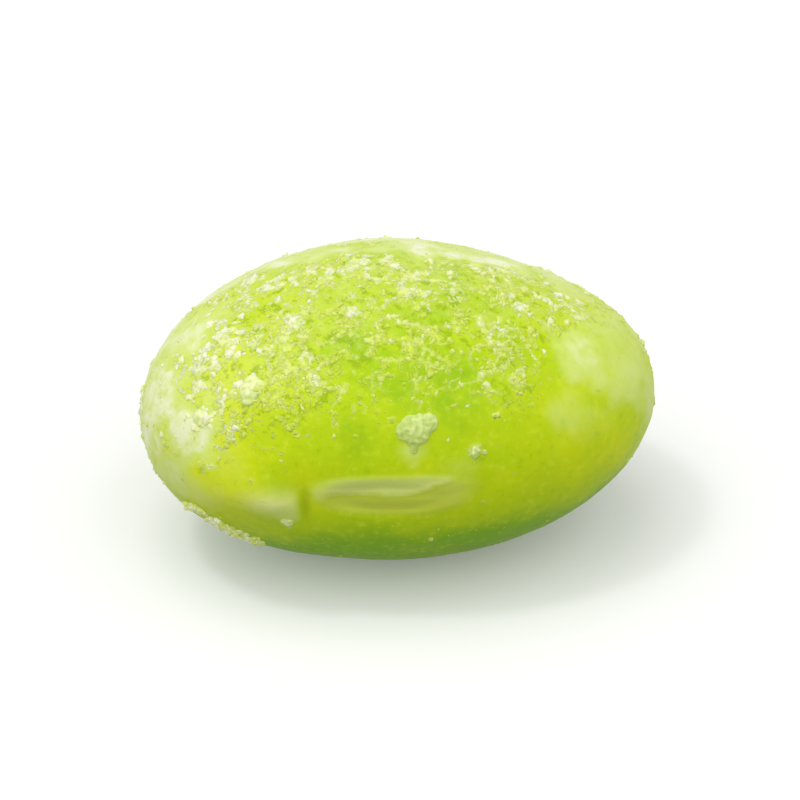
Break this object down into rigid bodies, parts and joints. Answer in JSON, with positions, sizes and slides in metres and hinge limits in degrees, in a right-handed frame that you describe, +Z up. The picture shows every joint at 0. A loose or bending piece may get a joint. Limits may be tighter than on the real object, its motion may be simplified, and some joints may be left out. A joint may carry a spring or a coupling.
{
  "type": "shelled edamame bean",
  "caption": "One whole frozen shelled edamame bean: a plump oval green soybean seed with its scar, lying on its broad side under a thin coat of frost.",
  "frame": {"origin": "centre of the bean's bounding box in plan, on the surface it rests on", "axes": "+X along the bean's length towards its crown end, away from the embryo root; -Y out of the side that has the scar; +Z up, through the bean's thickness"},
  "size_m": [0.015, 0.0104, 0.0086],
  "materials": {
    "bean_skin": "satin",
    "frost": "satin"
  },
  "bodies": {
    "root": {"edamame_bean": "bean_skin"}
  },
  "joints": []
}
